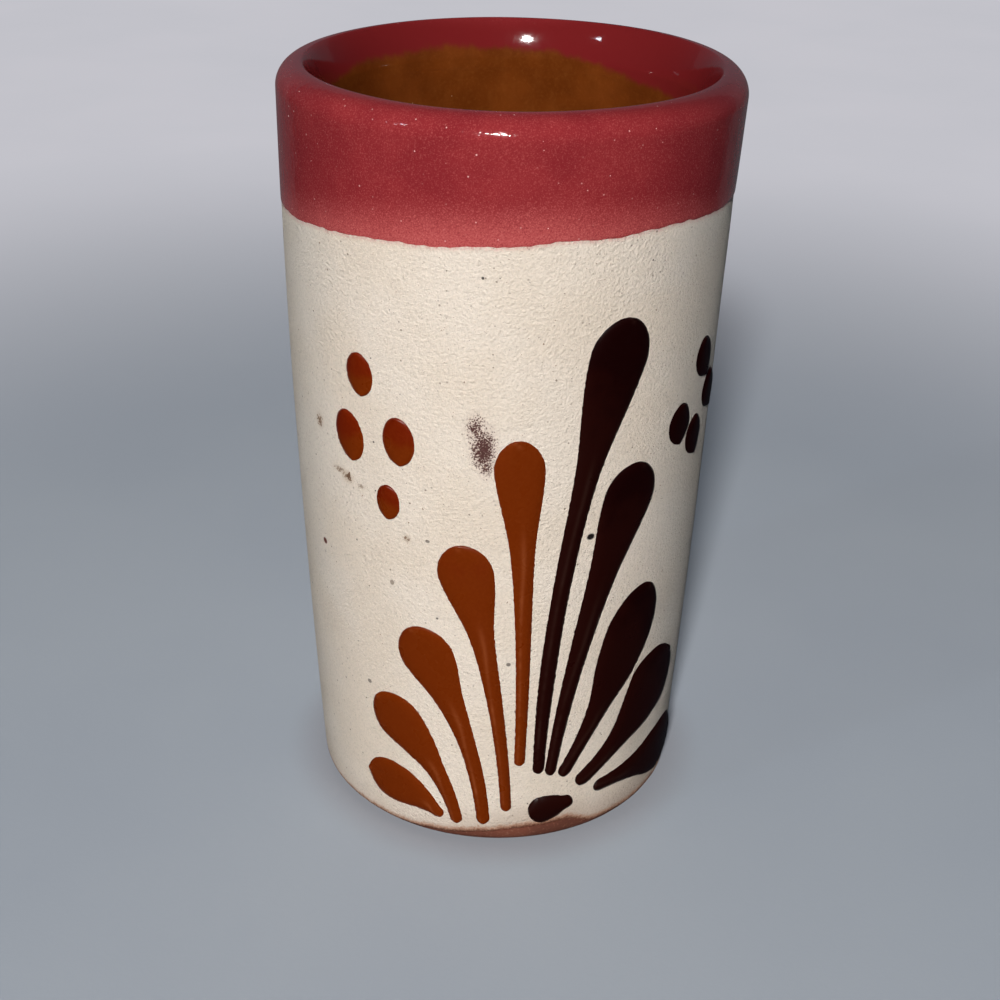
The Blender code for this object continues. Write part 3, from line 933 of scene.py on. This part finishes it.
red_glaze, tree, shader, place = new_finish("red_glaze_fired")
clouds = mottle(tree, place, 6.0, 3.0)
grain = mottle(tree, place, 0.13, 2.0, 0.7)
tone = lay_colour(tree, fade(tree, clouds, 0.35, 0.65), DEEP_WINE, WINE_RED)
height = reckon(tree, "ADD", painted_value(tree, "above_edge"), swing(tree, clouds, 3.0))
tone = lay_colour(tree, fade(tree, height, 4.6, -0.6), tone, THIN_RED)
pink = fade(tree, height, 5.0, 0.5, 0.36, 0.95)
tone = lay_colour(tree, times(tree, fade(tree, grain, 0.48, 0.74), pink), tone, PINK_GRAIN)
tone = lay_colour(tree, fade(tree, grain, 0.50, 0.28, 0.0, 0.7), tone, DEEP_WINE)
# Painted glints: pale specks in flocks, standing in for crystals catching the light.
painted_glints, lot = specks(tree, place, 0.62, -0.03, 0.088, 0.02)
flocks = fade(tree, mottle(tree, place, 5.0, 2.0), 0.40, 0.62, 0.25, 1.0)
painted_glints = times(tree, painted_glints, times(tree, flocks, fade(tree, lot, 0.2, 0.9)))
tone = lay_colour(tree, painted_glints, tone, PAINTED_GLINT)
tone = lay_colour(tree, painted_value(tree, "inside"), tone, INNER_WINE)
# The same painted shade on the band's two flanks.
tone = paint_flank_shade(tree, place, tone)
amber_here, runs = amber_recipe(tree, place)
melted = reckon(tree, "ADD", painted_value(tree, "melt"), swing(tree, runs, 0.9))
tone = lay_colour(tree, fade(tree, melted, 0.15, 0.85), tone, amber_here)
rough = fade(tree, grain, 0.3, 0.7, 0.28, 0.38)
set_inputs(tree, shader, {"Base Color": tone, "Roughness": rough, **CLEAR_COAT})
print("Red glaze coloured")

# %% Relief and sheen of the red glaze
SHEEN_CARDS = (("sheen_core", 1.5, 0.8), ("sheen_rim", 2.6, 2.0))
SHEEN_COLOUR = (0.90, 0.93, 1.0)
SHEEN_AIM = (180.0, -8.0, 1.1)

outside = reckon(tree, "SUBTRACT", 1.0, painted_value(tree, "inside"))
swells = mottle(tree, place, 1.6, 2.0)
dimples = times(tree, mottle(tree, place, 0.7, 1.0), fade(tree, outside, 0.0, 1.0, 0.25, 1.0))
pits = times(tree, mottle(tree, place, 0.36, 1.0), outside)
raise_surface(tree, shader, ((swells, 0.016), (dimples, 0.036), (pits, 0.022)), True)
red_band.data.materials.append(red_glaze)
for name, across, power in SHEEN_CARDS:
    card = add_lamp(name, across, power, SHEEN_COLOUR)
    aim_lamp(card, *SHEEN_AIM)
    card.visible_diffuse = False
    link_lamp(card, red_band, "INCLUDE")
print("Red glaze on the band")

# %% [markdown]
# ## The amber inside
# Amber glaze was poured in and out again, so it covers the wall and pools a little on the floor. It is
# a thin shell that starts behind the red band, follows the bore and rounds into the floor. Its surface
# waves slightly, because a poured glaze runs down in sheets. In a real cup light bounces about inside.
# Little of it gets that deep here, so a wide lamp over the cup adds a faint light to this one piece,
# and only the floor may shadow that lamp.

# %% The amber liner
LINER_SEGMENTS = 256
LINER_THICKNESS = 0.4 * MM
POOL_DEPTH = 0.25 * MM


def liner_profile(turn):
    """From the middle of the floor up the wall, then back down inside the clay."""
    corner_top = FLOOR_THICKNESS + FLOOR_ROUND
    floor_reach = bore_radius(turn, corner_top) - FLOOR_ROUND
    face = [(0.0, FLOOR_THICKNESS)]
    for share in (0.15, 0.3, 0.45, 0.6, 0.75, 0.9, 1.0):
        pool = POOL_DEPTH * smooth_step(share, 0.3, 1.0) * (1 - share)
        face.append((floor_reach * share, FLOOR_THICKNESS + pool))
    for angle in spread(90.0, 0.0, 13)[1:]:
        a = math.radians(angle)
        face.append((floor_reach + FLOOR_ROUND * math.cos(a), corner_top - FLOOR_ROUND * math.sin(a)))
    meet = min(inner_edge(turn), FLARE_END)
    for z in spread(corner_top, FLARE_END - 0.2 * MM, 48)[1:]:
        run = 0.04 * math.sin(4 * turn + 0.8) + 0.03 * math.sin(9 * turn + 190.0 * z)
        ease = smooth_step(z, corner_top, corner_top + 6 * MM) * smooth_step(FLARE_END - z, 0.0, 8 * MM)
        under = 0.04 * smooth_step(z, meet - 1.4 * MM, meet - 0.6 * MM)
        face.append((glazed_bore(turn, z) + (run * ease + under) * MM, z))
    back = []
    for z in spread(face[-1][1], corner_top, 10):
        back.append((bore_radius(turn, z) + LINER_THICKNESS, z))
    corner = FLOOR_ROUND + LINER_THICKNESS
    for angle in (30.0, 60.0, 90.0):
        a = math.radians(angle)
        back.append((floor_reach + corner * math.cos(a), corner_top - corner * math.sin(a)))
    return face + back + [(0.0, FLOOR_THICKNESS - LINER_THICKNESS)]


amber_liner = turn_piece("amber_liner", liner_profile, LINER_SEGMENTS)

# %% A lamp for the inside
WELL_LAMP_ACROSS = 1.6
WELL_LAMP_POWER = 2.0
WELL_LAMP_COLOUR = (1.0, 0.95, 0.90)
WELL_LAMP_PLACE = (0.0, 0.0, 0.66)

well_lamp = add_lamp("well_lamp", WELL_LAMP_ACROSS, WELL_LAMP_POWER, WELL_LAMP_COLOUR)
well_lamp.location = WELL_LAMP_PLACE
link_lamp(well_lamp, amber_liner, "INCLUDE")
shadow_makers = bpy.data.collections.new("well_lamp_shadows")
shadow_makers.objects.link(floor)
well_lamp.light_linking.blocker_collection = shadow_makers
print("Well lamp", WELL_LAMP_PLACE[2], "m up")

# %% [markdown]
# The liner wears the recipe that the band ends in, under the same gloss. Near the lip it is a shade
# deeper, to make up for its own lamp.

# %% Amber liner finish
amber_glaze, tree, shader, place = new_finish("amber_glaze_fired")
tone, runs = amber_recipe(tree, place)
deeper = fade(tree, along_axes(tree, place)["Z"], 56.0, 67.0, 1.0, 0.92)
tone = lay_colour(tree, 1.0, tone, deeper, "MULTIPLY")
rough = fade(tree, runs, 0.3, 0.7, 0.28, 0.38)
set_inputs(tree, shader, {"Base Color": tone, "Roughness": rough, **CLEAR_COAT})
raise_surface(tree, shader, ((runs, 0.012), (mottle(tree, place, 0.8, 2.0), 0.010)), True)
amber_liner.data.materials.append(amber_glaze)
print("Amber on the liner")

# %% [markdown]
# ## Trailed drops
# The fan is drawn with a slip trailer: a squeezed bulb leaves a fat round head, and the line thins as
# it is pulled down to the root. Each petal is written down as its root and its head, which are places
# on the wall laid flat (a turn from the front and a height in percent of the slip), its bow, its five
# widths and the length of its crown. A dot has a middle, a width, a length, a lean, and how pointed
# its ends are. The same record can be wrapped on any wall, which a traced outline could not.

# %% The drops' records
Petal = namedtuple("Petal", "root head bow widths crown")
Dot = namedtuple("Dot", "middle width length lean point")

AMBER_PETALS = (
    Petal((7.4, 15.0), (4.8, 67.9), -0.35, (1.2, 1.4, 1.75, 2.6, 4.9), 3.2),
    Petal((3.8, 5.5), (-8.5, 50.1), -0.7, (1.2, 1.35, 1.7, 2.65, 5.6), 3.3),
    Petal((-3.1, 2.9), (-19.6, 34.2), -1.1, (1.45, 1.65, 2.0, 3.3, 6.0), 3.5),
    Petal((-11.4, 2.5), (-29.3, 20.0), -1.0, (1.4, 1.75, 2.45, 4.3, 6.0), 3.5),
    Petal((-17.6, 3.1), (-33.1, 6.8), -0.4, (1.6, 2.8, 4.1, 5.1, 5.4), 3.0),
)
BROWN_PETALS = (
    Petal((13.2, 13.1), (29.3, 84.4), 1.4, (1.3, 1.75, 1.9, 2.75, 6.4), 3.9),
    Petal((17.0, 12.4), (35.9, 61.1), 0.9, (1.3, 1.7, 2.35, 3.6, 6.3), 3.6),
    Petal((21.6, 11.8), (40.8, 35.6), -0.2, (1.6, 1.95, 3.2, 5.7, 7.0), 5.6),
    Petal((28.3, 9.2), (53.8, 22.0), -0.2, (2.1, 2.5, 3.9, 6.7, 9.0), 4.6),
    Petal((34.8, 6.3), (66.5, 5.8), 0.3, (1.8, 2.4, 3.8, 5.9, 7.0), 4.1),
)
FOOT_DOT = Petal((22.0, 4.9), (14.8, 4.2), 0.0, (2.0, 2.8, 3.2, 3.5, 3.6), 1.4)
AMBER_DOTS = (
    Dot((-37.6, 80.0), 3.3, 4.2, 8.0, 1.0),
    Dot((-41.9, 69.5), 3.8, 5.1, 14.0, 1.0),
    Dot((-26.3, 70.9), 3.5, 4.8, 5.0, 1.0),
    Dot((-29.8, 60.4), 2.7, 3.6, 3.0, 1.0),
)
BROWN_DOTS = (
    Dot((63.9, 79.05), 3.9, 4.3, 18.0, 1.15),
    Dot((71.2, 72.3), 4.2, 4.1, 10.0, 1.15),
    Dot((53.2, 70.1), 3.8, 4.2, -7.0, 1.15),
    Dot((62.0, 66.5), 3.7, 4.2, 0.0, 1.15),
)
print("Drops:", len(AMBER_PETALS) + len(BROWN_PETALS), "petals and",
      1 + len(AMBER_DOTS) + len(BROWN_DOTS), "dots")

# %% [markdown]
# A drop's outline is walked from its root to its crown, about a fifth of a millimetre at a time. Each
# station has a centre, a direction and a half width. The width runs smoothly through the five given
# ones, and both ends are rounded off as parts of an ellipse.

# %% Places and widths along a drop
SLIP_START = 1.6 * MM
FIELD_HEIGHT = 62.3 * MM


def field_point(turn_degrees, percent):
    """A place on the slip field laid flat: distance round the wall, and height."""
    z = SLIP_START + FIELD_HEIGHT * percent / 100
    return Vector((math.radians(turn_degrees) * wall_radius(z), z))


def width_at(widths, share):
    """Width along a drop, smoothed between its five given widths."""
    seat = min(share, 0.9999) * (len(widths) - 1)
    i = int(seat)
    t = seat - i
    before, start = widths[max(i - 1, 0)], widths[i]
    stop, after = widths[i + 1], widths[min(i + 2, len(widths) - 1)]
    slope_in, slope_out = (stop - before) / 2, (after - start) / 2
    curve = start + slope_in * t
    curve += (3 * (stop - start) - 2 * slope_in - slope_out) * t ** 2
    curve += (2 * (start - stop) + slope_in + slope_out) * t ** 3
    return curve * MM


middle_width = width_at(BROWN_PETALS[0].widths, 0.5)
print("Half way up, the longest petal is", round(middle_width / MM, 2), "mm wide")

# %% Stations along a drop
STATION = 0.22 * MM
ROOT_ANGLES = (80, 65, 50, 35, 20)
CROWN_ANGLES = (5, 10, 15, 20, 26, 32, 38, 44, 50, 56, 62, 68, 74, 79, 83.5)


def petal_stations(petal):
    """Centre, direction and half width from the thin end to the crown."""
    root, head = field_point(*petal.root), field_point(*petal.head)
    along = (head - root).normalized()
    bend = (root + head) / 2 + Vector((-along.y, along.x)) * petal.bow * 2 * MM
    root_half = petal.widths[0] * MM / 2
    head_half = petal.widths[-1] * MM / 2
    start_way, end_way = (bend - root).normalized(), (head - bend).normalized()
    stations = []
    for angle in ROOT_ANGLES:
        a = math.radians(angle)
        seat = root - start_way * root_half * math.sin(a)
        stations.append((seat, start_way, root_half * math.cos(a)))
    count = max(int((head - root).length / STATION), 12)
    for share in spread(0.0, 1.0, count):
        seat = root * (1 - share) ** 2 + bend * 2 * share * (1 - share) + head * share ** 2
        way = ((bend - root) * (1 - share) + (head - bend) * share).normalized()
        stations.append((seat, way, width_at(petal.widths, share) / 2))
    for angle in CROWN_ANGLES:
        a = math.radians(angle)
        seat = head + end_way * petal.crown * MM * math.sin(a)
        stations.append((seat, end_way, head_half * math.cos(a)))
    return stations


def dot_stations(dot):
    """Centre, direction and half width along a leaning oval."""
    middle = field_point(*dot.middle)
    lean = math.radians(dot.lean)
    way = Vector((-math.sin(lean), math.cos(lean)))
    stations = []
    for angle in spread(-86.0, 86.0, 23):
        a = math.radians(angle)
        seat = middle + way * dot.length * MM / 2 * math.sin(a)
        stations.append((seat, way, dot.width * MM / 2 * math.cos(a) ** dot.point))
    return stations


print("Stations on the longest petal:", len(petal_stations(BROWN_PETALS[0])))

# %% [markdown]
# Across each station the slip stands up as a bead: rounded on the thin trails and nearly flat on the
# wide heads, where it settled. The sandy ground makes the outline a little ragged, so the edges wander
# by a few hundredths of a millimetre. The back sinks just into the cream skin. Each point carries how
# thin the slip is there, how far along the drop it lies, and a pale streak that starts at the neck and
# runs down the left of the trail: partly slip that the nozzle dragged thin, partly a painted highlight,
# with a painted glint at the neck.

# %% Laying a drop on the wall
ACROSS = (-1.0, -0.975, -0.93, -0.87, -0.79, -0.69, -0.58, -0.46, -0.34, -0.22, -0.11,
          0.0, 0.11, 0.22, 0.34, 0.46, 0.58, 0.69, 0.79, 0.87, 0.93, 0.975, 1.0)
UNDER_ACROSS = (0.6, 0.0, -0.6)
SUNK = 0.06 * MM
STEEPNESS = 0.8
WANDER = 0.06 * MM
STREAK_WIDTH = 0.17


def on_wall(flat, proud):
    """Wrap a place on the flat field back onto the wall, proud of its surface."""
    turn = flat.x / wall_radius(flat.y)
    radius = face_radius(turn, flat.y) + proud
    return (radius * math.sin(turn), -radius * math.cos(turn), flat.y)


def lay_drop(name, stations, proud, seed, red_from, red_to, streak_and_glint_share):
    """A domed bead of slip on the wall, redder as it goes up."""
    points, faces, rings = [], [], []
    values = {"thin": [], "along": [], "streak_and_glint": []}
    for number, (seat, way, half) in enumerate(stations):
        sideways = Vector((way.y, -way.x))
        along = red_from + (red_to - red_from) * number / (len(stations) - 1)
        height = min(proud, STEEPNESS * half)
        flatness = 2.0 + 2.2 * smooth_step(half, 1.3 * MM, 2.8 * MM)
        trail = 1 - smooth_step(half, 0.75 * MM, 1.2 * MM)
        neck = math.exp(-((half - 1.2 * MM) / (0.3 * MM)) ** 2)
        patchy = noise.noise(Vector((number * 0.06, 3.0, seed)))
        patchy += 0.7 * noise.noise(Vector((number * 0.3, 6.0, seed)))
        # The neck term is a painted glint; the trail term is partly slip dragged thin, partly painted
        # highlight.
        streak_and_glint = 0.8 * neck + trail * (0.4 + 0.9 * patchy)
        streak_seat = 0.05 - 0.45 * trail
        ring = []
        for u in ACROSS:
            wander = noise.noise(Vector((number * 0.42, math.copysign(9.0, u), seed)))
            wander += 0.6 * noise.noise(Vector((number * 1.1, math.copysign(5.0, u), seed)))
            reach = half + WANDER * wander * min(half / (0.5 * MM), 1.0)
            dome = height * max(1 - abs(u) ** flatness, 0.0) ** 0.8
            ring.append(len(points))
            points.append(on_wall(seat + sideways * u * reach, dome - SUNK))
            values["thin"].append(1 - dome / proud)
            here = math.exp(-((u - streak_seat) / STREAK_WIDTH) ** 2)
            values["streak_and_glint"].append(streak_and_glint_share * max(streak_and_glint, 0.0) * here)
        for u in UNDER_ACROSS:
            ring.append(len(points))
            points.append(on_wall(seat + sideways * u * half, -3 * SUNK))
            values["thin"].append(1.0)
            values["streak_and_glint"].append(0.0)
        values["along"] += [along] * len(ring)
        rings.append(ring)
    for first, second in zip(rings, rings[1:]):
        faces += skin(first, second)
    faces += [tuple(rings[0]), tuple(rings[-1])]
    return make_piece(name, points, faces, values)


print("Each station has", len(ACROSS), "points across its face")

# %% The trailed pieces
AMBER_PROUD = 0.30 * MM
BROWN_PROUD = 0.36 * MM
FOOT_DOT_PROUD = 0.55 * MM
# Piece, CAD node, finish slot, records, height, first seed, the red at both ends, and the streak's
# share.
ROWS_OF_DROPS = (
    ("amber_trail", "amber_petal", "amber_drop", AMBER_PETALS, AMBER_PROUD, 0, (0.0, 0.76, 1.0)),
    ("brown_trail", "brown_petal", "brown_drop", BROWN_PETALS, BROWN_PROUD, 10, (0.0, 0.85, 0.6)),
    ("amber_spot", "amber_dot", "amber_drop", AMBER_DOTS, AMBER_PROUD, 20, (0.5, 1.1, 0.0)),
    ("brown_spot", "brown_dot", "brown_drop", BROWN_DOTS, BROWN_PROUD, 30, (0.9, 1.0, 0.0)),
)

drops = []
for name, node, slot, records, proud, seed, tones in ROWS_OF_DROPS:
    for number, record in enumerate(records, 1):
        stations = petal_stations(record) if isinstance(record, Petal) else dot_stations(record)
        piece = lay_drop(f"{name}_{number}", stations, proud, seed + number, *tones)
        drops.append((piece, f"{node}_{number}", slot))
foot_dot = lay_drop("foot_spot", petal_stations(FOOT_DOT), FOOT_DOT_PROUD, 40, 0.0, 0.4, 0.0)
drops.append((foot_dot, "base_dot", "brown_drop"))

# %% [markdown]
# Both slips are smooth and glossy. The amber one is a red brown that turns redder towards the crown,
# where it is thickest, and orange along its thin edge. The brown one is nearly black on the heads and a
# breath of dark red down the trails, and a little duller.

# %% Amber and brown drop finishes
AMBER_BODY = (0.124, 0.0168, 0.0008)
AMBER_CROWN = (0.114, 0.0084, 0.0004)
AMBER_EDGE = (0.29, 0.070, 0.015)
# Streak colour: partly slip dragged thin, partly painted highlight.
AMBER_STREAK_AND_GLINT = (0.215, 0.050, 0.014)
BROWN_BODY = (0.0118, 0.0016, 0.0010)
BROWN_HEAD = (0.0064, 0.0003, 0.0003)
BROWN_EDGE = (0.018, 0.006, 0.005)
# Streak colour: partly slip dragged thin, partly painted highlight.
BROWN_STREAK_AND_GLINT = (0.036, 0.016, 0.012)


def drop_finish(name, body, warm, crown_start, edge, streak_and_glint_tone, rough, gloss):
    """A glossy trailed slip: body, a second tone up the drop, thin edge, and a streak of thin slip and
    painted highlight.
    """
    finish, tree, shader, place = new_finish(name)
    clouds = mottle(tree, place, 3.5, 3.0)
    grain = mottle(tree, place, 0.3, 2.0)
    along = reckon(tree, "ADD", painted_value(tree, "along"), swing(tree, clouds, 0.35))
    tone = lay_colour(tree, fade(tree, along, crown_start, crown_start + 0.14), body, warm)
    tone = lay_colour(tree, fade(tree, grain, 0.35, 0.7, 0.0, 0.06), tone, edge)
    thin = reckon(tree, "ADD", painted_value(tree, "thin"), times(tree, grain, 0.3))
    tone = lay_colour(tree, fade(tree, thin, 0.85, 1.2, 0.0, 0.8), tone, edge)
    # Thin slip and painted highlight together, laid on as colour.
    tone = lay_colour(tree, times(tree, painted_value(tree, "streak_and_glint"), 0.75), tone, streak_and_glint_tone)
    rough = fade(tree, clouds, 0.3, 0.7, rough, rough + 0.1)
    set_inputs(tree, shader, {"Base Color": tone, "Roughness": rough, "Specular IOR Level": gloss})
    raise_surface(tree, shader, ((mottle(tree, place, 0.9, 2.0), 0.012), (grain, 0.003)))
    return finish


slips = {
    "amber_drop": drop_finish("amber_slip_fired", AMBER_BODY, AMBER_CROWN, 0.72,
                              AMBER_EDGE, AMBER_STREAK_AND_GLINT, 0.25, 0.15),
    "brown_drop": drop_finish("brown_slip_fired", BROWN_BODY, BROWN_HEAD, 0.67,
                              BROWN_EDGE, BROWN_STREAK_AND_GLINT, 0.27, 0.11),
}
for piece, node, slot in drops:
    piece.data.materials.append(slips[slot])
print("Finishes on", len(drops), "drops")

# %% [markdown]
# ## Handing the pieces over
# Each piece says which CAD node it stands for and which body carries it. The cup has no moving parts,
# so everything rides on the one body. Dressing the cup must not make it another size.

# %% Ride and replace
layers = [(fired_clay, "clay_body", "terracotta"), (slip_skin, "slip_coat", "cream_slip"),
          (red_band, "rim_glaze", "red_glaze"), (amber_liner, "inner_glaze", "amber_glaze")]
stands_for = layers + drops
for piece, node, slot in stands_for:
    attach(piece, "root")
    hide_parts(node)

print("Pieces handed over:", len(stands_for))
